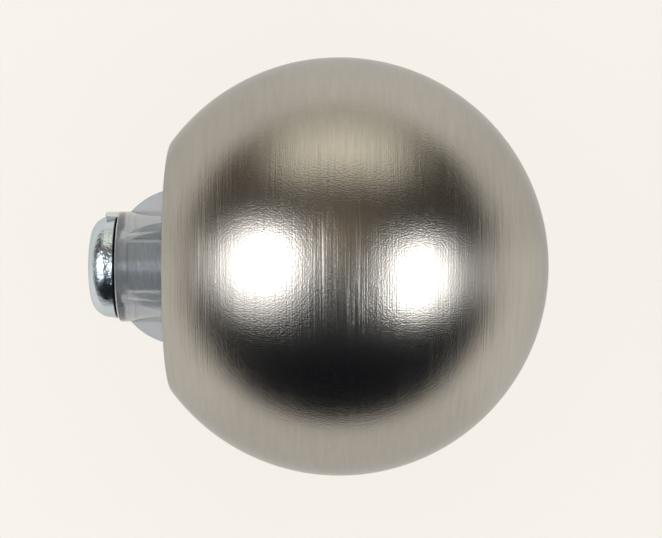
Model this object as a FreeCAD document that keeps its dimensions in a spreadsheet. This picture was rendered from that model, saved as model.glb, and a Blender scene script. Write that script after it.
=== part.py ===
# Ball finial for the end of a curtain pole: a turned, brushed metal ball, a clear finned plug that the tubular
# pole slides over, and the pan head screw that clamps the plug down in the ball's socket.
# Frame: millimetres, +X along the pole's axis into the ball, +Z up, origin at the centre of the socket's floor,
# where the end of the pole comes to rest.

import FreeCAD
import Part
import Sketcher
import os

# Driving dimensions: alias, size in millimetres (degrees for angles), meaning
SIZES = [
    ("ball_diameter", 40.0, "outside of the ball"),
    ("face_diameter", 23.6, "flat face turned on the pole side of the ball"),
    ("face_edge_radius", 1.0, "rounding between the ball and its flat face"),
    ("pole_diameter", 16.0, "outside of the tubular pole that the finial fits"),
    ("pole_wall", 0.5, "wall of the tubular pole"),
    ("socket_depth", 10.0, "from the flat face to the floor of the pole socket"),
    ("socket_clearance", 0.15, "radial room between the pole and the socket"),
    ("mouth_chamfer", 0.4, "lead-in at the mouth of the socket"),
    ("plug_reach", 4.9, "how far the plug stands out of the flat face"),
    ("plug_body_diameter", 10.6, "round body between the fins"),
    ("plug_nose", 1.1, "plain nose of the plug ahead of the fins"),
    ("plug_collar", 5.0, "full round collar at the foot of the plug"),
    ("fin_number", 6, "fins around the plug"),
    ("fin_thickness", 0.9, "thickness of a fin"),
    ("fin_squeeze", 0.02, "radial squeeze of the fins and collar in the bore of the pole"),
    ("fin_crest_inset", 1.1, "from the flat face in to where the fins reach full height"),
    ("tab_length", 1.2, "moulding tab on the end of the plug"),
    ("tab_thickness", 0.3, "radial thickness of the tab"),
    ("tab_angle", 44.0, "angle that the tab spans around the plug"),
    ("screw_diameter", 5.0, "outside of the screw's thread"),
    ("screw_length", 25.0, "screw below its head"),
    ("screw_tip_chamfer", 0.7, "chamfer on the screw's tip"),
    ("bore_clearance", 0.25, "radial room for the screw in the plug"),
    ("thread_clearance", 0.05, "radial room for the screw in its tapped hole"),
    ("tap_runout", 3.0, "tapped hole beyond the screw's tip"),
    ("drill_point_angle", 118.0, "cone at the bottom of the tapped hole"),
    ("head_diameter", 9.9, "screw head"),
    ("head_height", 3.0, "screw head, crown to underside"),
    ("head_crown_radius", 16.0, "crown of the head"),
    ("head_shoulder_radius", 1.9, "shoulder between crown and land"),
    ("head_rim_chamfer", 0.2, "chamfer under the rim of the head"),
    ("recess_depth", 2.2, "cross recess in the head"),
    ("recess_span", 5.2, "cross recess, tip to tip at the crown"),
    ("recess_wing", 1.3, "width of a recess wing at the crown"),
    ("recess_foot_span", 3.0, "cross recess, tip to tip at its foot"),
    ("recess_foot_wing", 0.9, "width of a recess wing at its foot"),
    ("cut_margin", 1.0, "how far a cutter runs past the surface that it cuts"),
]

# Sizes that follow from the driving dimensions, as expressions on the sheet
BALL_RADIUS = "(Sizes.ball_diameter / 2)"
FACE_RADIUS = "(Sizes.face_diameter / 2)"
FACE = "(-Sizes.socket_depth)"
BALL_CENTRE = f"({FACE} + sqrt({BALL_RADIUS} ^ 2 - {FACE_RADIUS} ^ 2))"
SOCKET_RADIUS = "(Sizes.pole_diameter / 2 + Sizes.socket_clearance)"
SCREW_RADIUS = "(Sizes.screw_diameter / 2)"
TAP_RADIUS = f"({SCREW_RADIUS} + Sizes.thread_clearance)"
PLUG_END = f"({FACE} - Sizes.plug_reach)"
SCREW_TIP = f"({PLUG_END} + Sizes.screw_length)"
TAP_END = f"({SCREW_TIP} + Sizes.tap_runout)"
PLUG_BORE_RADIUS = f"({SCREW_RADIUS} + Sizes.bore_clearance)"
PLUG_BODY_RADIUS = "(Sizes.plug_body_diameter / 2)"
CREST_RADIUS = "(Sizes.pole_diameter / 2 - Sizes.pole_wall + Sizes.fin_squeeze)"
FIN_START = f"({PLUG_END} + Sizes.plug_nose)"
FIN_CREST = f"({FACE} + Sizes.fin_crest_inset)"
FIN_RISE = f"({CREST_RADIUS} - {PLUG_BODY_RADIUS})"
FIN_RUN = f"({FIN_CREST} - {FIN_START})"
FIN_ARC_RADIUS = f"(({FIN_RUN} ^ 2 + {FIN_RISE} ^ 2) / (2 * {FIN_RISE}))"
HEAD_RADIUS = "(Sizes.head_diameter / 2)"
HEAD_TOP = f"({PLUG_END} - Sizes.head_height)"
CROWN_CENTRE = f"({HEAD_TOP} + Sizes.head_crown_radius)"
SHOULDER_OFFSET = f"({HEAD_RADIUS} - Sizes.head_shoulder_radius)"
CROWN_LESS_SHOULDER = "(Sizes.head_crown_radius - Sizes.head_shoulder_radius)"
SHOULDER_DROP = f"sqrt({CROWN_LESS_SHOULDER} ^ 2 - {SHOULDER_OFFSET} ^ 2)"
CROWN_SHARE = f"(Sizes.head_crown_radius / {CROWN_LESS_SHOULDER})"

X_AXIS_ROOT, Y_AXIS_ROOT = -1, -2
START, END = range(1, 3)
ANTICLOCKWISE, CLOCKWISE = "anticlockwise", "clockwise"
TOUCH = 1e-4


def make_sheet(doc):
    """The spreadsheet that holds the driving dimensions."""
    sheet = doc.addObject("Spreadsheet::Sheet", "Sizes")
    for row, (alias, size, meaning) in enumerate(SIZES, 1):
        sheet.set(f"A{row}", meaning)
        sheet.set(f"B{row}", str(size))
        sheet.setAlias(f"B{row}", alias)
    doc.recompute()


def number(owner, expression):
    """The value of an expression on the sheet, as a plain number."""
    value = owner.evalExpression(expression)
    return float(getattr(value, "Value", value))


def make_body(doc, label):
    """An empty body whose label names its piece."""
    body = doc.addObject("PartDesign::Body", label)
    body.Label = label
    return body


def origin_feature(body, role):
    """One of a body's own origin planes or axes."""
    return next(f for f in body.Origin.OriginFeatures if f.Role == role)


def make_sketch(body, name, role, offset=None):
    """A sketch on one of the body's origin planes, moved along the plane's normal by an expression."""
    sketch = body.newObject("Sketcher::SketchObject", name)
    sketch.AttachmentSupport = [(origin_feature(body, role), "")]
    sketch.MapMode = "FlatFace"
    if offset:
        sketch.setExpression("AttachmentOffset.Base.z", offset)
    return sketch


def tie(sketch, kind, *reference, expression):
    """A dimension of the sketch that follows an expression."""
    index = sketch.addConstraint(Sketcher.Constraint(kind, *reference, number(sketch, expression)))
    name = f"size_{index}"
    sketch.renameConstraint(index, name)
    sketch.setExpression(f"Constraints.{name}", expression)


def tie_point(sketch, point, x, y):
    """Holds a point of the sketch at a place given by two expressions, or on an axis where one is zero."""
    for kind, axis, expression in (("DistanceX", Y_AXIS_ROOT, x), ("DistanceY", X_AXIS_ROOT, y)):
        if expression == "0":
            sketch.addConstraint(Sketcher.Constraint("PointOnObject", *point, axis))
        elif number(sketch, expression) < 0:
            tie(sketch, kind, *point, X_AXIS_ROOT, START, expression=f"-({expression})")
        else:
            tie(sketch, kind, X_AXIS_ROOT, START, *point, expression=expression)


def add_line(sketch, start, end):
    """A straight side of an outline."""
    return sketch.addGeometry(Part.LineSegment(start, end), False)


def add_arc(sketch, start, end, centre):
    """A round side of an outline, counter-clockwise from start to end."""
    circle = Part.Circle(centre, FreeCAD.Vector(0, 0, 1), (start - centre).Length)
    return sketch.addGeometry(Part.ArcOfCircle(circle, circle.parameter(start), circle.parameter(end)), False)


def draw_outline(sketch, corners):
    """A closed outline through corners given as expressions for x and y.

    The side that leaves a corner is straight, or round where the corner also has (centre x, centre y, turn).
    """
    places = [FreeCAD.Vector(number(sketch, x), number(sketch, y), 0) for x, y, *_ in corners]
    sides = []
    for place, following, (_, _, *arc) in zip(places, places[1:] + places[:1], corners):
        if not arc:
            sides.append((add_line(sketch, place, following), START, END))
            continue
        centre_x, centre_y, turn = arc[0]
        centre = FreeCAD.Vector(number(sketch, centre_x), number(sketch, centre_y), 0)
        if turn == ANTICLOCKWISE:
            sides.append((add_arc(sketch, place, following, centre), START, END))
        else:
            sides.append((add_arc(sketch, following, place, centre), END, START))
    for (side, first, last), (following, following_first, _), corner in zip(sides, sides[1:] + sides[:1], corners):
        sketch.addConstraint(Sketcher.Constraint("Coincident", side, last, following, following_first))
        x, y, *arc = corner
        tie_point(sketch, (side, first), x, y)
        if arc:
            centre_x, centre_y, _ = arc[0]
            radius = f"sqrt(({x} - ({centre_x})) ^ 2 + ({y} - ({centre_y})) ^ 2)"
            tie(sketch, "Radius", side, expression=radius)


def revolve(body, name, sketch):
    """The sketch turned once around the pole's axis."""
    turned = body.newObject("PartDesign::Revolution", name)
    turned.Profile = sketch
    turned.ReferenceAxis = (sketch, ["H_Axis"])
    turned.Angle = 360
    body.Document.recompute()
    return turned


def repeat_around(body, name, feature, count):
    """The feature repeated evenly around the pole's axis."""
    pattern = body.newObject("PartDesign::PolarPattern", name)
    pattern.Originals = [feature]
    pattern.Axis = (origin_feature(body, "X_Axis"), [""])
    pattern.Angle = 360
    pattern.setExpression("Occurrences", count)
    body.Tip = pattern
    body.Document.recompute()
    return pattern


def circle_edges(feature, x, radius):
    """Names of the feature's round edges of one radius at one place along the pole's axis."""
    names = []
    for index, edge in enumerate(feature.Shape.Edges, 1):
        if edge.Degenerated:
            continue
        curve = edge.Curve
        if isinstance(curve, Part.Circle) and abs(curve.Center.x - x) < TOUCH and abs(curve.Radius - radius) < TOUCH:
            names.append(f"Edge{index}")
    return names


def require_cut(body, before):
    """Stops the build if the last cut took nothing away."""
    if body.Shape.Volume > before - TOUCH:
        raise RuntimeError(f"a cut in {body.Label} removed nothing")


def make_ball(doc):
    """The turned ball: sphere, flat face, pole socket and tapped hole in one profile."""
    body = make_body(doc, "finial_ball")
    sketch = make_sketch(body, "ball_profile", "XY_Plane")
    drill_point = f"({TAP_RADIUS} / tan(Sizes.drill_point_angle / 2 * 1 deg))"
    corners = [
        (f"{BALL_CENTRE} + {BALL_RADIUS}", "0", (BALL_CENTRE, "0", ANTICLOCKWISE)),
        (FACE, FACE_RADIUS),
        (FACE, SOCKET_RADIUS),
        ("0", SOCKET_RADIUS),
        ("0", TAP_RADIUS),
        (TAP_END, TAP_RADIUS),
        (f"{TAP_END} + {drill_point}", "0"),
    ]
    draw_outline(sketch, corners)
    turned = revolve(body, "turned_ball", sketch)

    fillet = body.newObject("PartDesign::Fillet", "face_edge")
    fillet.Base = (turned, circle_edges(turned, number(sketch, FACE), number(sketch, FACE_RADIUS)))
    fillet.setExpression("Radius", "Sizes.face_edge_radius")
    doc.recompute()

    chamfer = body.newObject("PartDesign::Chamfer", "socket_mouth")
    chamfer.Base = (fillet, circle_edges(fillet, number(sketch, FACE), number(sketch, SOCKET_RADIUS)))
    chamfer.setExpression("Size", "Sizes.mouth_chamfer")
    doc.recompute()
    return body


def cut_fin_gaps(body):
    """The gaps that leave the fins standing: one gap along the plug, repeated around it."""
    before = body.Shape.Volume
    sketch = make_sketch(body, "gap_outline", "YZ_Plane", FIN_START)
    half_fin = "(Sizes.fin_thickness / 2)"
    reach = f"({CREST_RADIUS} + Sizes.cut_margin)"
    pitch = "(360 / Sizes.fin_number * 1 deg)"

    def beside_first_fin(radius):
        """Corner on the flank of the fin along +Y."""
        return f"sqrt({radius} ^ 2 - {half_fin} ^ 2)", half_fin

    def beside_next_fin(radius):
        """Corner on the facing flank of the next fin round."""
        along = f"sqrt({radius} ^ 2 - {half_fin} ^ 2)"
        return (
            f"{along} * cos({pitch}) + {half_fin} * sin({pitch})",
            f"{along} * sin({pitch}) - {half_fin} * cos({pitch})",
        )

    corners = [
        beside_first_fin(PLUG_BODY_RADIUS),
        (*beside_first_fin(reach), ("0", "0", ANTICLOCKWISE)),
        beside_next_fin(reach),
        (*beside_next_fin(PLUG_BODY_RADIUS), ("0", "0", CLOCKWISE)),
    ]
    draw_outline(sketch, corners)
    gap = body.newObject("PartDesign::Pocket", "fin_gap")
    gap.Profile = sketch
    gap.Reversed = True
    gap.setExpression("Length", f"-Sizes.plug_collar - {FIN_START}")
    doc = body.Document
    doc.recompute()
    repeat_around(body, "fin_gaps", gap, "Sizes.fin_number")
    require_cut(body, before)


def add_tab(body):
    """The short moulding tab that stands on the rim of the plug's end."""
    sketch = make_sketch(body, "tab_outline", "YZ_Plane", PLUG_END)
    inner = f"({PLUG_BODY_RADIUS} - Sizes.tab_thickness)"
    half = "(Sizes.tab_angle / 2 * 1 deg)"
    corners = [
        (f"{inner} * cos({half})", f"-{inner} * sin({half})"),
        (f"{PLUG_BODY_RADIUS} * cos({half})", f"-{PLUG_BODY_RADIUS} * sin({half})", ("0", "0", ANTICLOCKWISE)),
        (f"{PLUG_BODY_RADIUS} * cos({half})", f"{PLUG_BODY_RADIUS} * sin({half})"),
        (f"{inner} * cos({half})", f"{inner} * sin({half})", ("0", "0", CLOCKWISE)),
    ]
    draw_outline(sketch, corners)
    tab = body.newObject("PartDesign::Pad", "end_tab")
    tab.Profile = sketch
    tab.Reversed = True
    tab.setExpression("Length", "Sizes.tab_length")
    body.Document.recompute()


def make_plug(doc):
    """The clear plug: round body with a screw bore, a collar on the socket floor and rounded fins."""
    body = make_body(doc, "pole_plug")
    sketch = make_sketch(body, "plug_profile", "XY_Plane")
    corners = [
        (PLUG_END, PLUG_BORE_RADIUS),
        ("0", PLUG_BORE_RADIUS),
        ("0", CREST_RADIUS),
        (FIN_CREST, CREST_RADIUS, (FIN_CREST, f"{CREST_RADIUS} - {FIN_ARC_RADIUS}", ANTICLOCKWISE)),
        (FIN_START, PLUG_BODY_RADIUS),
        (PLUG_END, PLUG_BODY_RADIUS),
    ]
    draw_outline(sketch, corners)
    revolve(body, "plug_blank", sketch)
    cut_fin_gaps(body)
    add_tab(body)
    return body


def cross_corners(span, wing):
    """The twelve corners of a cross recess, counter-clockwise."""
    half_span = f"({span} / 2)"
    half_wing = f"({wing} / 2)"
    quarter = [(half_span, half_wing), (half_wing, half_wing), (half_wing, half_span)]
    corners = []
    for _ in range(4):
        corners += quarter
        quarter = [(f"-({y})", x) for x, y in quarter]
    return corners


def cut_recess(body):
    """The cross recess, tapering from the crown to its foot."""
    before = body.Shape.Volume
    crown = make_sketch(body, "recess_at_crown", "YZ_Plane", HEAD_TOP)
    draw_outline(crown, cross_corners("Sizes.recess_span", "Sizes.recess_wing"))
    foot = make_sketch(body, "recess_at_foot", "YZ_Plane", f"{HEAD_TOP} + Sizes.recess_depth")
    draw_outline(foot, cross_corners("Sizes.recess_foot_span", "Sizes.recess_foot_wing"))
    recess = body.newObject("PartDesign::SubtractiveLoft", "cross_recess")
    recess.Profile = crown
    recess.Sections = [foot]
    recess.Ruled = True
    body.Document.recompute()
    require_cut(body, before)


def make_screw(doc):
    """The pan head screw: crown, shoulder, land, shank and tip in one profile, then the cross recess."""
    body = make_body(doc, "clamp_screw")
    sketch = make_sketch(body, "screw_profile", "XY_Plane")
    shoulder_centre = f"({CROWN_CENTRE} - {SHOULDER_DROP})"
    shoulder_end = (f"{CROWN_CENTRE} - {SHOULDER_DROP} * {CROWN_SHARE}", f"{SHOULDER_OFFSET} * {CROWN_SHARE}")
    corners = [
        (HEAD_TOP, "0"),
        (SCREW_TIP, "0"),
        (SCREW_TIP, f"{SCREW_RADIUS} - Sizes.screw_tip_chamfer"),
        (f"{SCREW_TIP} - Sizes.screw_tip_chamfer", SCREW_RADIUS),
        (PLUG_END, SCREW_RADIUS),
        (PLUG_END, f"{HEAD_RADIUS} - Sizes.head_rim_chamfer"),
        (f"{PLUG_END} - Sizes.head_rim_chamfer", HEAD_RADIUS),
        (shoulder_centre, HEAD_RADIUS, (shoulder_centre, SHOULDER_OFFSET, ANTICLOCKWISE)),
        (*shoulder_end, (CROWN_CENTRE, "0", ANTICLOCKWISE)),
    ]
    draw_outline(sketch, corners)
    revolve(body, "turned_screw", sketch)
    cut_recess(body)
    return body


def check_document(doc, bodies):
    """Stops before anything is written if a feature failed or a piece isn't one valid solid."""
    failed = [o.Name for o in doc.Objects if "Invalid" in o.State or "Error" in o.State]
    if failed:
        raise RuntimeError(f"these features failed: {failed}")
    for body in bodies:
        shape = body.Shape
        if shape.isNull() or not shape.isValid() or len(shape.Solids) != 1:
            raise RuntimeError(f"{body.Label} isn't one valid solid")


def main():
    """Builds the finial's pieces and writes one STEP file for each."""
    doc = FreeCAD.newDocument("curtain_pole_finial")
    make_sheet(doc)
    bodies = [make_ball(doc), make_plug(doc), make_screw(doc)]
    doc.recompute()
    check_document(doc, bodies)
    os.makedirs("parts", exist_ok=True)
    for body in bodies:
        body.Shape.exportStep(f"parts/{body.Label}.step")
        print(f"{body.Label}: {body.Shape.Volume:.1f} mm3, box {body.Shape.BoundBox}")


main()
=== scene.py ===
"""Curtain pole finial: a brushed metal ball, a clear finned plug and the screw that clamps it.

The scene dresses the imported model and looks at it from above. +X runs along the pole's axis into the
ball, the origin is the centre of the socket's floor, and lengths are metres.
"""

import logging
import math
from dataclasses import dataclass
from enum import Enum
from functools import cache

import bmesh
import bpy
from mathutils import Matrix, Vector


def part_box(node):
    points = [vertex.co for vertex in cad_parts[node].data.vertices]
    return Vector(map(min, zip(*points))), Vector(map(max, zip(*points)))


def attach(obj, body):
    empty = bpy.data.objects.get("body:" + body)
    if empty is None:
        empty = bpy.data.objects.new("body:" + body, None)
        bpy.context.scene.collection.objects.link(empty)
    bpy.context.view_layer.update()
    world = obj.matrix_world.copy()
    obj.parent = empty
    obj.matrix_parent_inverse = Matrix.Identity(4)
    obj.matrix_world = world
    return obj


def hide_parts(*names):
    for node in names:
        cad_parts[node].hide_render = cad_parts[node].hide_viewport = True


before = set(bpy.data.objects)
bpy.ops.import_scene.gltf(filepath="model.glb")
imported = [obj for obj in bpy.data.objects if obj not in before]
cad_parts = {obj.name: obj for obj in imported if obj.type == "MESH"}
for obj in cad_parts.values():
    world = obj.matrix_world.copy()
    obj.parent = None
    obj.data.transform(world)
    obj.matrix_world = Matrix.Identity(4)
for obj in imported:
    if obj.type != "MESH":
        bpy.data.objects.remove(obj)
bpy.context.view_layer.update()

Color = tuple[float, float, float, float]
Triple = tuple[float, float, float]
Span = tuple[float, float]

LOG = logging.getLogger("curtain_pole_finial")
MM = 0.001
FULL_TURN = 2.0 * math.pi
QUARTER_TURN = math.pi / 2.0
MATRIX_SIZE = 3
POLE_AXIS = Vector((1.0, 0.0, 0.0))
DRAWING_AXIS = Vector((0.0, 0.0, 1.0))
LEVEL = Vector((1.0, 1.0, 0.0))
ORIGIN = Vector((0.0, 0.0, 0.0))
MERGE_GAP = 1e-7
BODY = "root"


class Cut(Enum):
    """What a second solid does to the first one."""

    AWAY = "DIFFERENCE"
    JOIN = "UNION"


class Blend(Enum):
    """How a colour is laid over another."""

    COVER = "MIX"
    ADD = "ADD"


class Ease(Enum):
    """How a value runs from one end of its range to the other."""

    EVEN = "LINEAR"
    SOFT = "SMOOTHSTEP"


class Socket(Enum):
    """Kinds of socket on a node group."""

    VALUE = "NodeSocketFloat"
    VECTOR = "NodeSocketVector"


def turn_round(mesh: bmesh.types.BMesh, corners: list[bmesh.types.BMVert], angle: float) -> None:
    """Turns corners around the pole's axis."""
    bmesh.ops.rotate(mesh, verts=corners, cent=ORIGIN, matrix=Matrix.Rotation(angle, MATRIX_SIZE, POLE_AXIS))


def last_corner(drawn: dict) -> bmesh.types.BMVert:
    """The corner where a spin of one corner ends."""
    return next(item for item in drawn["geom_last"] if isinstance(item, bmesh.types.BMVert))


def draw_round(mesh: bmesh.types.BMesh, place: Span, start: float, sweep: float,
               steps: int) -> tuple[bmesh.types.BMVert, bmesh.types.BMVert]:
    """Draws an arc around the pole's axis.

    Args:
        mesh: Shape to draw in.
        place: Where the arc lies along the pole's axis, and its radius.
        start: Angle from +Y where it starts.
        sweep: Angle that it spans.
        steps: Pieces that the arc is divided into.

    Returns:
        Its first and last corner.
    """
    first = bmesh.ops.create_vert(mesh, co=(*place, 0.0))["vert"][0]
    turn_round(mesh, [first], start)
    drawn = bmesh.ops.spin(mesh, geom=[first], cent=ORIGIN, axis=POLE_AXIS, angle=sweep, steps=steps)
    return first, last_corner(drawn)


def tidy(mesh: bmesh.types.BMesh) -> bmesh.types.BMesh:
    """Merges doubled corners and turns the faces outwards.

    Args:
        mesh: Shape to clean.

    Returns:
        The same shape.
    """
    bmesh.ops.remove_doubles(mesh, verts=mesh.verts, dist=MERGE_GAP)
    bmesh.ops.dissolve_degenerate(mesh, dist=MERGE_GAP, edges=mesh.edges)
    bmesh.ops.recalc_face_normals(mesh, faces=mesh.faces)
    return mesh


def to_object(name: str, mesh: bmesh.types.BMesh) -> bpy.types.Object:
    """Puts a finished shape in the scene, with its place in its mesh.

    Args:
        name: Name of the piece.
        mesh: Shape, which is used up.

    Returns:
        The new object at the origin.
    """
    data = bpy.data.meshes.new(name)
    mesh.to_mesh(data)
    mesh.free()
    piece = bpy.data.objects.new(name, data)
    bpy.context.scene.collection.objects.link(piece)
    return piece


def combine(piece: bpy.types.Object, other: bpy.types.Object, cut: Cut) -> None:
    """Cuts a second solid out of a piece, or joins it on, and removes the second solid.

    Args:
        piece: Solid that is changed.
        other: Solid that is used up.
        cut: What the second solid does.
    """
    modifier = piece.modifiers.new("combine", "BOOLEAN")
    modifier.operation = cut.value
    modifier.solver = "EXACT"
    modifier.object = other
    bpy.context.view_layer.update()
    evaluated = piece.evaluated_get(bpy.context.evaluated_depsgraph_get())
    result = bpy.data.meshes.new_from_object(evaluated)
    piece.modifiers.clear()
    old = piece.data
    piece.data = result
    result.name = piece.name
    bpy.data.meshes.remove(old)
    bpy.data.objects.remove(other)


def smooth(piece: bpy.types.Object, crease: float) -> None:
    """Shades a piece smooth, with sharp edges where two faces meet at more than an angle.

    Args:
        piece: Piece to shade.
        crease: Angle in degrees.
    """
    piece.data.shade_smooth()
    piece.data.set_sharp_from_angle(angle=math.radians(crease))


class ProfilePen:
    """Draws a lathe profile, with X along the pole's axis and Y as the radius, and turns it."""

    def __init__(self, x: float, radius: float) -> None:
        """Puts the pen down.

        Args:
            x: Place along the pole's axis.
            radius: Distance from the axis.
        """
        self.mesh = bmesh.new()
        self.first = bmesh.ops.create_vert(self.mesh, co=(x, radius, 0.0))["vert"][0]
        self.tip = self.first

    def line_to(self, x: float, radius: float, steps: int = 1) -> None:
        """Draws a straight stretch.

        Args:
            x: Place along the pole's axis where it ends.
            radius: Distance from the axis where it ends.
            steps: Pieces that the stretch is divided into.
        """
        step = (Vector((x, radius, 0.0)) - self.tip.co) / steps
        for _ in range(steps):
            self.tip = bmesh.ops.extrude_vert_indiv(self.mesh, verts=[self.tip])["verts"][0]
            bmesh.ops.translate(self.mesh, verts=[self.tip], vec=step)

    def arc(self, centre_x: float, centre_radius: float, angle: float, steps: int) -> None:
        """Draws a round stretch.

        Args:
            centre_x: Centre of the arc along the pole's axis.
            centre_radius: Distance of the arc's centre from the axis.
            angle: Turn in radians, counter-clockwise.
            steps: Pieces that the arc is divided into.
        """
        drawn = bmesh.ops.spin(self.mesh, geom=[self.tip], cent=(centre_x, centre_radius, 0.0),
                               axis=DRAWING_AXIS, angle=angle, steps=steps)
        self.tip = last_corner(drawn)

    def close(self) -> None:
        """Joins the last corner to the first one."""
        self.mesh.edges.new((self.tip, self.first))

    def turn(self, steps: int) -> bmesh.types.BMesh:
        """Turns the profile once around the pole's axis.

        Args:
            steps: Pieces around the full turn.

        Returns:
            The lathe shape.
        """
        bmesh.ops.spin(self.mesh, geom=self.mesh.verts[:] + self.mesh.edges[:], cent=ORIGIN, axis=POLE_AXIS,
                       angle=FULL_TURN, steps=steps, use_merge=True)
        return tidy(self.mesh)

    def sweep(self, start: float, angle: float, steps: int, rise: float = 0.0) -> bmesh.types.BMesh:
        """Closes the profile, fills it and carries it around the pole's axis as a solid with two ends.

        Args:
            start: Angle from +Y where the solid starts.
            angle: Angle that it spans, which may be several turns.
            steps: Pieces along the way.
            rise: Travel along the pole's axis at each step.

        Returns:
            The solid.
        """
        self.close()
        end = bmesh.ops.contextual_create(self.mesh, geom=self.mesh.edges[:])["faces"]
        turn_round(self.mesh, self.mesh.verts[:], start)
        bmesh.ops.spin(self.mesh, geom=end + self.mesh.edges[:] + self.mesh.verts[:], cent=ORIGIN,
                       axis=POLE_AXIS, angle=angle, steps=steps, dvec=POLE_AXIS * rise)
        return tidy(self.mesh)


class NodePlan:
    """A node tree, with short calls that add nodes and link them."""

    def __init__(self, tree: bpy.types.NodeTree) -> None:
        """Empties the tree.

        Args:
            tree: Node tree to fill.
        """
        self.tree = tree
        self.tree.nodes.clear()

    def node(self, kind: str, **settings: object) -> bpy.types.Node:
        """Adds a node.

        Args:
            kind: Blender's name for the node.
            settings: Properties of the node to set.

        Returns:
            The new node.
        """
        made = self.tree.nodes.new(kind)
        for key, value in settings.items():
            setattr(made, key, value)
        return made

    def link(self, start: bpy.types.NodeSocket, end: bpy.types.NodeSocket) -> None:
        """Links an output to an input."""
        self.tree.links.new(start, end)

    def between(self, value: bpy.types.NodeSocket, window: Span, span: Span = (0.0, 1.0),
                ease: Ease = Ease.EVEN) -> bpy.types.NodeSocket:
        """Maps a value from one range to another.

        Args:
            value: Value to map.
            window: Range that it comes from, beyond which it stays level.
            span: Range that it goes to.
            ease: How it runs between them.

        Returns:
            The mapped value.
        """
        mapped = self.node("ShaderNodeMapRange", interpolation_type=ease.value)
        for name, number in zip(("From Min", "From Max", "To Min", "To Max"), (*window, *span)):
            mapped.inputs[name].default_value = number
        self.link(value, mapped.inputs["Value"])
        return mapped.outputs["Result"]

    def blend(self, way: Blend, share: bpy.types.NodeSocket, under: bpy.types.NodeSocket | Color,
              over: bpy.types.NodeSocket | Color) -> bpy.types.NodeSocket:
        """Lays a colour over another.

        Args:
            way: How it is laid.
            share: Share of the upper colour.
            under: Socket or plain colour below.
            over: Socket or plain colour on top.

        Returns:
            The blended colour.
        """
        mix = self.node("ShaderNodeMix", data_type="RGBA", blend_type=way.value)
        factor, lower, upper = (next(socket for socket in mix.inputs if socket.identifier == name)
                                for name in ("Factor_Float", "A_Color", "B_Color"))
        self.link(share, factor)
        for socket, color in ((lower, under), (upper, over)):
            if isinstance(color, bpy.types.NodeSocket):
                self.link(color, socket)
            else:
                socket.default_value = color
        return next(socket for socket in mix.outputs if socket.identifier == "Result_Color")

    def place(self) -> bpy.types.NodeSocket:
        """The piece's own coordinates."""
        return self.node("ShaderNodeTexCoord").outputs["Object"]

    def vector(self, operation: str, value: bpy.types.NodeSocket,
               by: Vector | None = None) -> bpy.types.Node:
        """Adds a node that works on a vector.

        Args:
            operation: Blender's name for the work.
            value: Vector to work on.
            by: Second vector, where the work takes one.

        Returns:
            The new node.
        """
        made = self.node("ShaderNodeVectorMath", operation=operation)
        self.link(value, made.inputs[0])
        if by is not None:
            made.inputs[1].default_value = by
        return made

    def along(self, place: bpy.types.NodeSocket, direction: Triple | Vector) -> bpy.types.NodeSocket:
        """How far a place lies along a direction, or the cosine between two directions.

        Args:
            place: Place, or direction that is looked in.
            direction: Direction to measure along.

        Returns:
            The distance or the cosine.
        """
        return self.vector("DOT_PRODUCT", place, Vector(direction).normalized()).outputs["Value"]

    def level(self, place: bpy.types.NodeSocket) -> bpy.types.NodeSocket:
        """A place or a direction without its height."""
        return self.vector("MULTIPLY", place, LEVEL).outputs["Vector"]

    def heading(self, level: bpy.types.NodeSocket) -> bpy.types.NodeSocket:
        """The direction in which a place on the level lies."""
        return self.vector("NORMALIZE", level).outputs["Vector"]

    def scaled(self, value: bpy.types.NodeSocket, share: bpy.types.NodeSocket) -> bpy.types.NodeSocket:
        """Multiplies two values.

        Args:
            value: First value.
            share: Second value.

        Returns:
            Their product.
        """
        product = self.node("ShaderNodeMath", operation="MULTIPLY")
        self.link(value, product.inputs[0])
        self.link(share, product.inputs[1])
        return product.outputs["Value"]


@dataclass(frozen=True)
class Grain:
    """One layer of unevenness in a finish, placed as the node group that all finishes share.

    Attributes:
        cells: Cells of the noise for each metre along X, Y and Z.
        octaves: Finer noises laid on the first one.
        falloff: Share of each finer noise.
        window: Part of the noise that counts.
        span: Values that the two ends of the window are given.
        depth: Height of the layer in metres, where it is a bump.
    """

    cells: Triple
    octaves: float = 1.0
    falloff: float = 0.5
    window: Span = (0.3, 0.7)
    span: Span = (0.0, 1.0)
    depth: float = 0.0

    def values(self) -> dict[str, object]:
        """The layer's values by the names of the group's inputs."""
        names = ("Cells", "Octaves", "Falloff", "Window Start", "Window End", "Low", "High")
        return dict(zip(names, (self.cells, self.octaves, self.falloff, *self.window, *self.span)))


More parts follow.
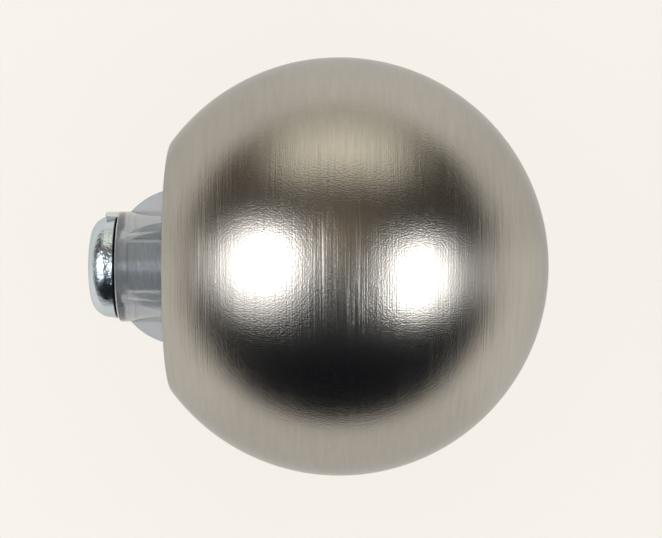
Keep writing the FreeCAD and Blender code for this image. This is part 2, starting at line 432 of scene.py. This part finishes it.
@cache
def grain_group() -> bpy.types.NodeTree:
    """Builds the node group of the uneven grain: noise on the piece's own coordinates, spread over a range.

    Returns:
        The group, which is built once.
    """
    plan = NodePlan(bpy.data.node_groups.new("uneven_grain", "ShaderNodeTree"))
    for name in Grain(cells=(1.0, 1.0, 1.0)).values():
        kind = Socket.VECTOR if name == "Cells" else Socket.VALUE
        plan.tree.interface.new_socket(name, in_out="INPUT", socket_type=kind.value)
    plan.tree.interface.new_socket("Value", in_out="OUTPUT", socket_type=Socket.VALUE.value)
    given = plan.node("NodeGroupInput")
    mapping = plan.node("ShaderNodeMapping")
    noise = plan.node("ShaderNodeTexNoise")
    noise.inputs["Scale"].default_value = 1.0
    spread = plan.node("ShaderNodeMapRange")
    plan.link(plan.place(), mapping.inputs["Vector"])
    plan.link(mapping.outputs["Vector"], noise.inputs["Vector"])
    plan.link(noise.outputs["Fac"], spread.inputs["Value"])
    ends = {
        "Cells": mapping.inputs["Scale"],
        "Octaves": noise.inputs["Detail"],
        "Falloff": noise.inputs["Roughness"],
        "Window Start": spread.inputs["From Min"],
        "Window End": spread.inputs["From Max"],
        "Low": spread.inputs["To Min"],
        "High": spread.inputs["To Max"],
    }
    for name, end in ends.items():
        plan.link(given.outputs[name], end)
    plan.link(spread.outputs["Result"], plan.node("NodeGroupOutput").inputs["Value"])
    return plan.tree


class Shading(NodePlan):
    """A material's node tree around one principled shader."""

    def __init__(self, name: str) -> None:
        """Makes a plain material.

        Args:
            name: Name of the material.
        """
        self.material = bpy.data.materials.new(name)
        self.material.use_nodes = True
        super().__init__(self.material.node_tree)
        self.principled = self.node("ShaderNodeBsdfPrincipled")
        output = self.node("ShaderNodeOutputMaterial")
        self.link(self.principled.outputs["BSDF"], output.inputs["Surface"])

    def set(self, **values: object) -> None:
        """Sets the shader's own sockets, with underscores for spaces in their names."""
        for key, value in values.items():
            self.principled.inputs[key.replace("_", " ")].default_value = value

    def feed(self, name: str, value: bpy.types.NodeSocket) -> None:
        """Links a value that changes over the surface to one of the shader's sockets."""
        self.link(value, self.principled.inputs[name])

    def grain(self, layer: Grain) -> bpy.types.NodeSocket:
        """Places the shared grain with a layer's own values.

        Args:
            layer: Values of the layer.

        Returns:
            The layer's value on the surface.
        """
        placed = self.node("ShaderNodeGroup", node_tree=grain_group())
        for name, value in layer.values().items():
            placed.inputs[name].default_value = value
        return placed.outputs["Value"]

    def bump(self, height: bpy.types.NodeSocket, depth: float,
             under: bpy.types.NodeSocket | None = None) -> bpy.types.NodeSocket:
        """A bump in the surface.

        Args:
            height: Height of the bump.
            depth: Metres for a height of 1.
            under: Normal of the surface that this bump lies on.

        Returns:
            The bumped normal.
        """
        made = self.node("ShaderNodeBump")
        made.inputs["Distance"].default_value = depth
        self.link(height, made.inputs["Height"])
        if under is not None:
            self.link(under, made.inputs["Normal"])
        return made.outputs["Normal"]


@dataclass(frozen=True)
class BrushedMetal:
    """Satin metal with fine brush lines around the pole's axis and a slightly grainy face."""

    light_tone: Color = (0.440, 0.414, 0.375, 1.0)
    dark_tone: Color = (0.388, 0.363, 0.329, 1.0)
    edge_tint: Color = (0.72, 0.73, 0.74, 1.0)
    anisotropic: float = 0.52
    anisotropic_turn: float = 0.25
    tone: Grain = Grain(cells=(3000.0, 220.0, 220.0), octaves=4.0, falloff=0.75)
    sheen: Grain = Grain(cells=(6000.0, 50.0, 50.0), octaves=3.0, falloff=0.6, span=(0.232, 0.256))
    clusters: Grain = Grain(cells=(420.0, 40.0, 40.0), octaves=2.0, falloff=0.6, span=(0.25, 1.0))
    lines: Grain = Grain(cells=(6000.0, 50.0, 50.0), octaves=3.0, falloff=0.6, window=(0.0, 1.0),
                         depth=1.0e-5)
    scratches: Grain = Grain(cells=(15000.0, 60.0, 60.0), window=(0.48, 0.73), span=(0.0, 0.25),
                             depth=2.6e-5)
    grain: Grain = Grain(cells=(6200.0, 7600.0, 7600.0), window=(0.0, 1.0), depth=1.5e-5)

    def material(self) -> bpy.types.Material:
        """Builds the finish.

        Returns:
            The ball's material.
        """
        shade = Shading("brushed_metal")
        shade.set(Metallic=1.0, Specular_Tint=self.edge_tint, Anisotropic=self.anisotropic,
                  Anisotropic_Rotation=self.anisotropic_turn)
        tangent = shade.node("ShaderNodeTangent", direction_type="RADIAL", axis="X")
        shade.feed("Tangent", tangent.outputs["Tangent"])
        tone = shade.blend(Blend.COVER, shade.grain(self.tone), self.dark_tone, self.light_tone)
        shade.feed("Base Color", tone)
        shade.feed("Roughness", shade.grain(self.sheen))
        clusters = shade.grain(self.clusters)
        scratched = shade.bump(shade.scaled(shade.grain(self.scratches), clusters), self.scratches.depth)
        brushed = shade.bump(shade.scaled(shade.grain(self.lines), clusters), self.lines.depth, scratched)
        shade.feed("Normal", shade.bump(shade.grain(self.grain), self.grain.depth, brushed))
        return shade.material


@dataclass(frozen=True)
class ClearPlastic:
    """Clear moulded plastic, a little milky, with a cool grey cast.

    Attributes:
        color: Cast of the body and the fins.
        thin_tab_lit_color: Paler colour of the thin tab, partly the weaker tint of thin plastic and partly
            painted light for the light that shines through it.
        thin_tab_lit_end: Stretch of the pole's axis over which the tab's paler, painted-light colour gives
            way to the body's.
        clearness: Share of the light that goes through.
        index: Index of refraction.
        gloss: Share of the smooth skin's own shine.
        gloss_roughness: Roughness of that skin.
        haze: Roughness of the plastic below it.
        ripple: Small waves of the surface.
    """

    color: Color = (0.525, 0.552, 0.580, 1.0)
    thin_tab_lit_color: Color = (0.88, 0.90, 0.92, 1.0)
    thin_tab_lit_end: Span = (-15.0 * MM, -14.9 * MM)
    clearness: float = 0.74
    index: float = 1.3
    gloss: float = 0.6
    gloss_roughness: float = 0.12
    haze: Grain = Grain(cells=(300.0, 900.0, 900.0), octaves=2.0, span=(0.10, 0.18))
    ripple: Grain = Grain(cells=(300.0, 900.0, 900.0), octaves=2.0, window=(0.0, 1.0), depth=1.0e-6)

    def material(self) -> bpy.types.Material:
        """Builds the finish.

        Returns:
            The plug's material.
        """
        shade = Shading("clear_plastic")
        shade.set(Transmission_Weight=self.clearness, IOR=self.index,
                  Coat_Weight=self.gloss, Coat_Roughness=self.gloss_roughness)
        # painted light: the thin tab is painted paler for the light that shines through it
        thick = shade.between(shade.along(shade.place(), POLE_AXIS), self.thin_tab_lit_end)
        shade.feed("Base Color", shade.blend(Blend.COVER, thick, self.thin_tab_lit_color, self.color))
        shade.feed("Roughness", shade.grain(self.haze))
        shade.feed("Normal", shade.bump(shade.grain(self.ripple), self.ripple.depth))
        return shade.material


@dataclass(frozen=True)
class ZincPlate:
    """Bright zinc plate with a cool cast and an uneven surface. A painted shadow, a dark band under the
    head, marks the gap where the head meets the plug.
    """

    name: str = "zinc_plate"
    color: Color = (0.56, 0.64, 0.69, 1.0)
    # painted shadow: near-black colour of the gap between the head and the plug
    painted_gap_shadow_color: Color = (0.03, 0.03, 0.035, 1.0)
    edge_tint: Color = (0.75, 0.77, 0.78, 1.0)
    painted_gap_shadow: Span = (-15.17 * MM, -14.90 * MM)
    painted_gap_shadow_fade: float = 0.05 * MM
    sheen: Grain = Grain(cells=(5200.0, 5200.0, 5200.0), octaves=2.0, falloff=0.6, span=(0.15, 0.27))
    waves: Grain = Grain(cells=(1300.0, 1300.0, 1300.0), octaves=2.0, falloff=0.55, window=(0.0, 1.0),
                         depth=5.0e-5)
    flecks: Grain = Grain(cells=(5200.0, 5200.0, 5200.0), octaves=2.0, falloff=0.6, window=(0.0, 1.0),
                          depth=2.4e-5)

    def material(self) -> bpy.types.Material:
        """Builds the finish.

        Returns:
            The material of a plated piece.
        """
        shade = Shading(self.name)
        shade.set(Metallic=1.0, Specular_Tint=self.edge_tint)
        along = shade.along(shade.place(), POLE_AXIS)
        # painted shadow: the dark band under the head, faded in and out along the pole's axis
        start, end = ((edge - self.painted_gap_shadow_fade, edge + self.painted_gap_shadow_fade) for edge in self.painted_gap_shadow)
        painted_gap_shadow = shade.scaled(shade.between(along, start), shade.between(along, end, (1.0, 0.0)))
        shade.feed("Base Color", shade.blend(Blend.COVER, painted_gap_shadow, self.color, self.painted_gap_shadow_color))
        shade.feed("Roughness", shade.grain(self.sheen))
        wavy = shade.bump(shade.grain(self.waves), self.waves.depth)
        shade.feed("Normal", shade.bump(shade.grain(self.flecks), self.flecks.depth, wavy))
        return shade.material


@dataclass(frozen=True)
class RolledThread(ZincPlate):
    """The plate on the rolled thread: rougher than on the head, and painted paler, which is painted light
    that makes up for the plug's shade over the thread.
    """

    name: str = "zinc_thread"
    # painted light: a paler copy of the zinc colour that lightens the thread in the plug's shade
    color: Color = (0.94, 0.98, 1.00, 1.0)
    sheen: Grain = Grain(cells=(5200.0, 5200.0, 5200.0), octaves=2.0, falloff=0.6, span=(0.44, 0.56))


@dataclass
class Piece:
    """What every piece of the finial has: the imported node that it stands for."""

    node: str

    def dress(self, piece: bpy.types.Object, material: bpy.types.Material, crease: float) -> None:
        """Shades a finished mesh, gives it its material and sets it in the frame.

        Args:
            piece: Finished mesh.
            material: Its finish.
            crease: Angle in degrees past which an edge stays sharp.
        """
        smooth(piece, crease)
        piece.data.materials.clear()
        piece.data.materials.append(material)
        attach(piece, BODY)


@dataclass
class FinialBall(Piece):
    """The turned ball with its flat face, pole socket and tapped hole."""

    node: str = "finial_ball"
    socket_radius: float = 8.15 * MM
    mouth_chamfer: float = 0.4 * MM
    face_edge: float = 1.0 * MM
    tap_radius: float = 2.55 * MM
    tap_end: float = 13.1 * MM
    drill_point: float = 1.53 * MM
    sphere_steps: int = 128
    edge_steps: int = 8
    wall_steps: int = 8
    turn_steps: int = 288
    crease: float = 35.0

    def profile(self) -> ProfilePen:
        """Draws the ball's section, from its far end round to the bottom of the tapped hole.

        Returns:
            The pen with the whole profile.
        """
        low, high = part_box(self.node)
        radius = (high.y - low.y) / 2.0
        centre = high.x - radius
        edge_x = low.x + self.face_edge
        edge_radius = math.sqrt((radius - self.face_edge) ** 2 - (edge_x - centre) ** 2)
        meeting = math.atan2(edge_radius, edge_x - centre)
        pen = ProfilePen(high.x, 0.0)
        pen.arc(centre, 0.0, meeting, self.sphere_steps)
        pen.arc(edge_x, edge_radius, math.pi - meeting, self.edge_steps)
        pen.line_to(low.x, self.socket_radius + self.mouth_chamfer, self.wall_steps)
        pen.line_to(low.x + self.mouth_chamfer, self.socket_radius)
        pen.line_to(0.0, self.socket_radius, self.wall_steps)
        pen.line_to(0.0, self.tap_radius, self.wall_steps)
        pen.line_to(self.tap_end, self.tap_radius, self.wall_steps)
        pen.line_to(self.tap_end + self.drill_point, 0.0)
        return pen

    def build(self, finish: BrushedMetal) -> list[bpy.types.Object]:
        """Turns the ball and dresses it.

        Args:
            finish: The ball's surface.

        Returns:
            The ball.
        """
        ball = to_object("brushed_ball", self.profile().turn(self.turn_steps))
        self.dress(ball, finish.material(), self.crease)
        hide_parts(self.node)
        return [ball]


@dataclass
class PolePlug(Piece):
    """The clear plug: round body, rounded fins, collar and the tab on its end."""

    node: str = "pole_plug"
    end: float = -14.9 * MM
    body_radius: float = 5.3 * MM
    bore_radius: float = 2.75 * MM
    fin_start: float = -13.8 * MM
    fin_crest: float = -8.9 * MM
    collar_start: float = -5.0 * MM
    fins: int = 6
    fin_thickness: float = 0.9 * MM
    fin_foot: float = 0.05 * MM
    tab_thickness: float = 0.3 * MM
    tab_angle: float = math.radians(44.0)
    tab_root: float = 0.25 * MM
    tab_inset: float = 0.01 * MM
    rim: float = 0.12 * MM
    cut_margin: float = 1.0 * MM
    turn_steps: int = 180
    fin_steps: int = 24
    wall_steps: int = 10
    crease: float = 28.0

    def blank(self, crest: float) -> bpy.types.Object:
        """Turns the body with its fins still a full round.

        Args:
            crest: Radius of the fins and the collar.

        Returns:
            The blank.
        """
        run = self.fin_crest - self.fin_start
        rise = crest - self.body_radius
        arc_radius = (run ** 2 + rise ** 2) / (2.0 * rise)
        pen = ProfilePen(self.end, self.bore_radius)
        pen.line_to(0.0, self.bore_radius, self.wall_steps)
        pen.line_to(0.0, crest, self.wall_steps)
        pen.line_to(self.fin_crest, crest, self.wall_steps)
        pen.arc(self.fin_crest, crest - arc_radius, math.atan2(run, arc_radius - rise), self.fin_steps)
        pen.line_to(self.end + self.rim, self.body_radius)
        pen.line_to(self.end, self.body_radius - self.rim)
        pen.close()
        return to_object("clear_plug", pen.turn(self.turn_steps))

    def gaps(self, crest: float) -> bpy.types.Object:
        """The spaces between the fins, as solids to cut away.

        Args:
            crest: Radius of the fins and the collar.

        Returns:
            One object with a solid for each gap.
        """
        start = self.fin_start + self.fin_foot
        pitch = FULL_TURN / self.fins
        mesh = bmesh.new()
        ends = []
        for radius in (self.body_radius, crest + self.cut_margin):
            flank = math.asin(self.fin_thickness / 2.0 / radius)
            ends.append(draw_round(mesh, (start, radius), flank, pitch - 2.0 * flank, self.fin_steps))
        for side in zip(*ends):
            mesh.edges.new(side)
        bmesh.ops.contextual_create(mesh, geom=mesh.edges[:])
        grown = bmesh.ops.extrude_face_region(mesh, geom=mesh.faces[:])
        moved = [item for item in grown["geom"] if isinstance(item, bmesh.types.BMVert)]
        bmesh.ops.translate(mesh, verts=moved, vec=POLE_AXIS * (self.collar_start - start))
        bmesh.ops.spin(mesh, geom=mesh.verts[:] + mesh.edges[:] + mesh.faces[:], cent=ORIGIN, axis=POLE_AXIS,
                       angle=FULL_TURN - pitch, steps=self.fins - 1, use_duplicate=True)
        return to_object("fin_gaps", tidy(mesh))

    def tab(self, tip: float) -> bpy.types.Object:
        """The moulding tab on the rim of the plug's end.

        Args:
            tip: Where the tab ends along the pole's axis.

        Returns:
            The tab, sunk a little into the plug.
        """
        inner = self.body_radius - self.tab_thickness
        outer = self.body_radius - self.tab_inset
        root = self.end + self.tab_root
        pen = ProfilePen(tip, inner)
        for corner in ((root, inner), (root, outer), (tip, outer)):
            pen.line_to(*corner)
        return to_object("end_tab", pen.sweep(-self.tab_angle / 2.0, self.tab_angle, self.fin_steps))

    def build(self, finish: ClearPlastic) -> list[bpy.types.Object]:
        """Moulds the plug and dresses it.

        Args:
            finish: The plug's surface.

        Returns:
            The plug.
        """
        low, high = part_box(self.node)
        plug = self.blank(high.y)
        combine(plug, self.gaps(high.y), Cut.AWAY)
        combine(plug, self.tab(low.x), Cut.JOIN)
        self.dress(plug, finish.material(), self.crease)
        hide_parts(self.node)
        return [plug]


@dataclass
class ClampScrew(Piece):
    """The pan head screw with its cross recess and its thread."""

    node: str = "clamp_screw"
    underside: float = -14.9 * MM
    head_height: float = 3.0 * MM
    crown_radius: float = 16.0 * MM
    shoulder_radius: float = 1.9 * MM
    land_taper: float = 0.08 * MM
    rim_chamfer: float = 0.25 * MM
    core_radius: float = 2.06 * MM
    thread_radius: float = 2.47 * MM
    thread_pitch: float = 0.8 * MM
    thread_start: float = -14.3 * MM
    thread_crest: float = 0.10 * MM
    thread_flank: float = 0.34 * MM
    thread_sink: float = 0.05 * MM
    tip_chamfer: float = 0.7 * MM
    recess_depth: float = 2.2 * MM
    recess_span: float = 5.2 * MM
    recess_wing: float = 1.3 * MM
    recess_foot_span: float = 3.0 * MM
    recess_foot_wing: float = 0.9 * MM
    turn_steps: int = 128
    thread_steps: int = 36
    crown_steps: int = 16
    wall_steps: int = 10
    crease: float = 30.0

    def blank(self, head_radius: float, tip: float) -> bpy.types.Object:
        """Turns the head and the core of the shank.

        Args:
            head_radius: Radius of the head.
            tip: Where the screw ends along the pole's axis.

        Returns:
            The blank.
        """
        top = self.underside - self.head_height
        crown = top + self.crown_radius
        offset = head_radius - self.land_taper - self.shoulder_radius
        drop = math.sqrt((self.crown_radius - self.shoulder_radius) ** 2 - offset ** 2)
        crown_sweep = math.atan2(offset, drop)
        pen = ProfilePen(top, 0.0)
        pen.arc(crown, 0.0, -crown_sweep, self.crown_steps)
        pen.arc(crown - drop, offset, crown_sweep - QUARTER_TURN, self.crown_steps)
        pen.line_to(self.underside - self.rim_chamfer, head_radius)
        pen.line_to(self.underside, head_radius - self.rim_chamfer)
        pen.line_to(self.underside, self.core_radius, self.wall_steps)
        pen.line_to(tip - self.tip_chamfer, self.core_radius, self.wall_steps)
        pen.line_to(tip, self.core_radius - self.tip_chamfer)
        pen.line_to(tip, 0.0)
        return to_object("zinc_screw", pen.turn(self.turn_steps))

    def wing(self, turn: float) -> bpy.types.Object:
        """One bar of the cross recess, tapering to its foot.

        Args:
            turn: Turn of the bar around the screw.

        Returns:
            The bar as a solid to cut away.
        """
        mesh = bmesh.new()
        bmesh.ops.create_cube(mesh, size=1.0)
        foot = [corner for corner in mesh.verts if corner.co.x > 0.0]
        crown = [corner for corner in mesh.verts if corner.co.x < 0.0]
        bmesh.ops.scale(mesh, verts=crown, vec=(0.0, self.recess_span, self.recess_wing))
        bmesh.ops.scale(mesh, verts=foot, vec=(0.0, self.recess_foot_span, self.recess_foot_wing))
        bmesh.ops.translate(mesh, verts=foot, vec=POLE_AXIS * self.recess_depth)
        bmesh.ops.translate(mesh, verts=mesh.verts[:], vec=POLE_AXIS * (self.underside - self.head_height))
        turn_round(mesh, mesh.verts[:], turn)
        return to_object("recess_wing", tidy(mesh))

    def thread(self, tip: float) -> bpy.types.Object:
        """The thread, one ridge wound along the shank.

        Args:
            tip: Where the screw ends along the pole's axis.

        Returns:
            The ridge as a closed solid.
        """
        turns = int((tip - self.tip_chamfer - self.thread_start) / self.thread_pitch)
        root = self.core_radius - self.thread_sink
        crest_start = self.thread_start + self.thread_flank
        crest_end = crest_start + self.thread_crest
        pen = ProfilePen(self.thread_start, root)
        pen.line_to(crest_start, self.thread_radius)
        pen.line_to(crest_end, self.thread_radius)
        pen.line_to(crest_end + self.thread_flank, root)
        ridge = pen.sweep(0.0, FULL_TURN * turns, turns * self.thread_steps,
                          self.thread_pitch / self.thread_steps)
        return to_object("screw_thread", ridge)

    def build(self, finish: ZincPlate, thread_finish: RolledThread) -> list[bpy.types.Object]:
        """Turns the screw, cuts its recess, winds its thread and dresses them.

        Args:
            finish: The screw's surface.
            thread_finish: The surface of its rolled thread.

        Returns:
            The screw and its thread.
        """
        _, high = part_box(self.node)
        screw = self.blank(high.y, high.x)
        for turn in (0.0, QUARTER_TURN):
            combine(screw, self.wing(turn), Cut.AWAY)
        thread = self.thread(high.x)
        self.dress(screw, finish.material(), self.crease)
        self.dress(thread, thread_finish.material(), self.crease)
        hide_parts(self.node)
        return [screw, thread]


@dataclass(frozen=True)
class Softbox:
    """A soft elliptical light far above the finial.

    Attributes:
        name: Name of the light.
        direction: Where it hangs, seen from the ball.
        size: Its two widths in metres.
        level: How many times as bright as white its surface is.
        color: Its colour.
        distance: How far from the ball it hangs.
        mirrored: Whether it shows in shiny surfaces.
    """

    name: str
    direction: Triple
    size: Span
    level: float
    color: Triple = (0.95, 0.975, 1.0)
    distance: float = 3.0
    mirrored: bool = True

    def hang(self, target: Vector) -> None:
        """Hangs the light so that it points at a place.

        Args:
            target: Place that the light points at.
        """
        data = bpy.data.lights.new(self.name, "AREA")
        data.shape = "ELLIPSE"
        data.size, data.size_y = self.size
        data.color = self.color
        area = math.pi * data.size * data.size_y / 4.0
        data.energy = self.level * math.pi * area
        light = bpy.data.objects.new(self.name, data)
        toward = Vector(self.direction).normalized()
        light.location = target + toward * self.distance
        light.rotation_euler = toward.to_track_quat("Z", "Y").to_euler()
        light.visible_camera = False
        light.visible_glossy = self.mirrored
        bpy.context.scene.collection.objects.link(light)


@dataclass(frozen=True)
class Glow:
    """A soft light patch around one direction, seen from the finial.

    Attributes:
        direction: Middle of the patch.
        edges: Cosines of the angles from the middle where the patch starts and where it is whole.
        color: What the whole patch adds.
    """

    direction: Triple
    edges: Span
    color: Color

    def add(self, plan: NodePlan, sight: bpy.types.NodeSocket,
            under: bpy.types.NodeSocket | Color) -> bpy.types.NodeSocket:
        """Adds the patch to a colour.

        Args:
            plan: Node tree to add to.
            sight: Direction from the finial.
            under: Colour without the patch.

        Returns:
            The colour with it.
        """
        share = plan.between(plan.along(sight, self.direction), self.edges, ease=Ease.SOFT)
        return plan.blend(Blend.ADD, share, under, self.color)


@dataclass
class DimRoom:
    """The dark room around the stage, with one pale wall on the +Y side and soft glows."""

    backdrop: Color = (0.93, 0.896, 0.831, 1.0)
    dark_color: Color = (0.003, 0.005, 0.009, 1.0)
    wall_color: Triple = (1.0, 0.98, 0.85)
    wall_heading: Triple = (0.02, 1.0, 0.0)
    wall_edges: Span = (0.75, 0.98)
    wall_heights: tuple[Span, ...] = (
        (0.01, 0.72), (0.15, 0.84), (0.30, 1.10), (0.47, 1.35), (0.60, 0.88), (0.70, 0.30), (0.80, 0.02),
    )
    glows: tuple[Glow, ...] = (
        Glow((-0.25, 0.96, 0.0), (-0.25, 0.45), (0.066, 0.051, 0.034, 1.0)),
        Glow((-0.80, 0.60, 0.0), (0.10, 0.40), (0.030, 0.025, 0.018, 1.0)),
        Glow((0.02, 0.20, 0.98), (0.91, 0.985), (0.150, 0.110, 0.060, 1.0)),
        Glow((-0.690, -0.026, 0.723), (0.866, 0.985), (2.50, 2.56, 2.64, 1.0)),
        Glow((0.705, -0.090, 0.703), (0.905, 0.98), (2.40, 2.46, 2.52, 1.0)),
        Glow((0.98, -0.04, 0.10), (0.96, 0.995), (0.50, 0.50, 0.49, 1.0)),
        Glow((-0.98, 0.03, 0.10), (0.96, 0.995), (0.25, 0.25, 0.24, 1.0)),
    )

    def wall(self, plan: NodePlan,
             sight: bpy.types.NodeSocket) -> tuple[bpy.types.NodeSocket, bpy.types.NodeSocket]:
        """The pale wall: how much of it a line of sight meets, and its colour at that height.

        Args:
            plan: Node tree to add to.
            sight: Direction that is looked in.

        Returns:
            The wall's share and its colour.
        """
        height = plan.node("ShaderNodeValToRGB")
        for spot, share in self.wall_heights:
            height.color_ramp.elements.new(spot).color = (*(share * part for part in self.wall_color), 1.0)
        for end in (-1, 0):
            height.color_ramp.elements.remove(height.color_ramp.elements[end])
        plan.link(plan.along(sight, DRAWING_AXIS), height.inputs["Fac"])
        faced = plan.along(plan.heading(plan.level(sight)), self.wall_heading)
        return plan.between(faced, self.wall_edges, ease=Ease.SOFT), height.outputs["Color"]

    def build(self) -> bpy.types.World:
        """Paints the room, which is plain and pale to the camera itself.

        Returns:
            The world.
        """
        world = bpy.data.worlds.new("dim_room")
        world.use_nodes = True
        plan = NodePlan(world.node_tree)
        sight = plan.node("ShaderNodeTexCoord").outputs["Generated"]
        wall_share, wall_color = self.wall(plan, sight)
        color = plan.blend(Blend.ADD, wall_share, self.dark_color, wall_color)
        for glow in self.glows:
            color = glow.add(plan, sight, color)
        dim = plan.node("ShaderNodeBackground")
        pale = plan.node("ShaderNodeBackground")
        choice = plan.node("ShaderNodeMixShader")
        plan.link(color, dim.inputs["Color"])
        pale.inputs["Color"].default_value = self.backdrop
        plan.link(plan.node("ShaderNodeLightPath").outputs["Is Camera Ray"], choice.inputs["Fac"])
        for background, socket in ((dim, choice.inputs[1]), (pale, choice.inputs[2])):
            plan.link(background.outputs["Background"], socket)
        plan.link(choice.outputs["Shader"], plan.node("ShaderNodeOutputWorld").inputs["Surface"])
        return world


@dataclass
class Studio:
    """The pale floor with pools of light painted on it, the softboxes and the camera, which looks straight
    down.
    """

    floor_depth: float = 0.16
    floor_radius: float = 6.0
    floor_steps: int = 96
    floor_color: Color = (0.761, 0.7205, 0.667, 1.0)
    painted_pool_reach: Span = (0.08, 0.16)
    # painted light: lighter patches painted on the floor towards +X, -X and +Y, which the ball mirrors
    painted_light_pools: tuple[Glow, ...] = (
        Glow((1.0, -0.33, 0.0), (0.85, 0.97), (0.140, 0.133, 0.123, 1.0)),
        Glow((-0.90, -0.42, 0.0), (0.84, 0.98), (0.100, 0.095, 0.088, 1.0)),
        Glow((0.22, 1.0, 0.0), (0.78, 0.97), (0.085, 0.081, 0.075, 1.0)),
    )
    floor_roughness: float = 0.95
    image_size: tuple[int, int] = (662, 538)
    focal_pixels: float = 1882.0
    distance: float = 0.181
    sensor_width: float = 36.0
    near_clip: float = 0.01
    ball_pixel: Span = (339.3, 266.5)
    lights: tuple[Softbox, ...] = (
        Softbox("left_softbox", direction=(-0.641, 0.038, 0.767), size=(1.42, 0.90), level=10.0),
        Softbox("right_softbox", direction=(0.644, -0.108, 0.757), size=(1.80, 0.54), level=9.5),
        Softbox("floor_fill", direction=(0.0, 0.0, 1.0), size=(2.0, 2.0), level=2.74, mirrored=False),
    )

    def camera(self, ball_centre: Vector) -> None:
        """Sets the camera above the ball, so that the ball's centre falls on its pixel.

        Args:
            ball_centre: Place of the ball's centre.
        """
        width, height = self.image_size
        pixel = self.distance / self.focal_pixels
        across, down = self.ball_pixel
        data = bpy.data.cameras.new("camera")
        data.sensor_fit = "HORIZONTAL"
        data.sensor_width = self.sensor_width
        data.lens = self.focal_pixels * self.sensor_width / width
        data.clip_start = self.near_clip
        camera = bpy.data.objects.new("camera", data)
        offset = Vector((width / 2.0 - across, down - height / 2.0, 0.0)) * pixel
        camera.location = ball_centre + offset + DRAWING_AXIS * self.distance
        bpy.context.scene.collection.objects.link(camera)
        bpy.context.scene.camera = camera

    def pools(self, shade: Shading) -> bpy.types.NodeSocket:
        """The floor's colour: plain below the finial, with soft patches of light painted on it further out.

        Args:
            shade: The floor's material.

        Returns:
            The colour.
        """
        level = shade.level(shade.place())
        heading = shade.heading(level)
        color = self.floor_color
        # painted light: adds each painted patch of light to the floor's colour
        for pool in self.painted_light_pools:
            color = pool.add(shade, heading, color)
        reach = shade.vector("LENGTH", level).outputs["Value"]
        painted_pool_share = shade.between(reach, self.painted_pool_reach, ease=Ease.SOFT)
        return shade.blend(Blend.COVER, painted_pool_share, self.floor_color, color)

    def floor(self) -> None:
        """Lays the pale floor below the finial."""
        mesh = bmesh.new()
        bmesh.ops.create_circle(mesh, cap_ends=True, segments=self.floor_steps, radius=self.floor_radius)
        bmesh.ops.translate(mesh, verts=mesh.verts[:], vec=-DRAWING_AXIS * self.floor_depth)
        floor = to_object("pale_floor", mesh)
        shade = Shading("pale_floor")
        shade.set(Roughness=self.floor_roughness, Specular_IOR_Level=0.0)
        shade.feed("Base Color", self.pools(shade))
        floor.data.materials.append(shade.material)

    def build(self, ball_node: str, room: DimRoom) -> None:
        """Sets the whole stage.

        Args:
            ball_node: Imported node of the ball, which the camera is set above.
            room: The room around the stage.
        """
        low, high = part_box(ball_node)
        ball_centre = POLE_AXIS * (high.x - (high.y - low.y) / 2.0)
        self.camera(ball_centre)
        self.floor()
        for light in self.lights:
            light.hang(ball_centre)
        bpy.context.scene.world = room.build()
        bpy.context.scene.view_settings.view_transform = "Standard"


def main() -> None:
    """Builds the finial's pieces in order, then the stage around them."""
    logging.basicConfig(level=logging.INFO, format="%(name)s: %(message)s")
    ball = FinialBall()
    pieces = [
        *ball.build(BrushedMetal()),
        *PolePlug().build(ClearPlastic()),
        *ClampScrew().build(ZincPlate(), RolledThread()),
    ]
    for piece in pieces:
        LOG.info("%s: %d faces", piece.name, len(piece.data.polygons))
    Studio().build(ball.node, DimRoom())
    LOG.info("stage set")


if __name__ == "__main__":
    main()
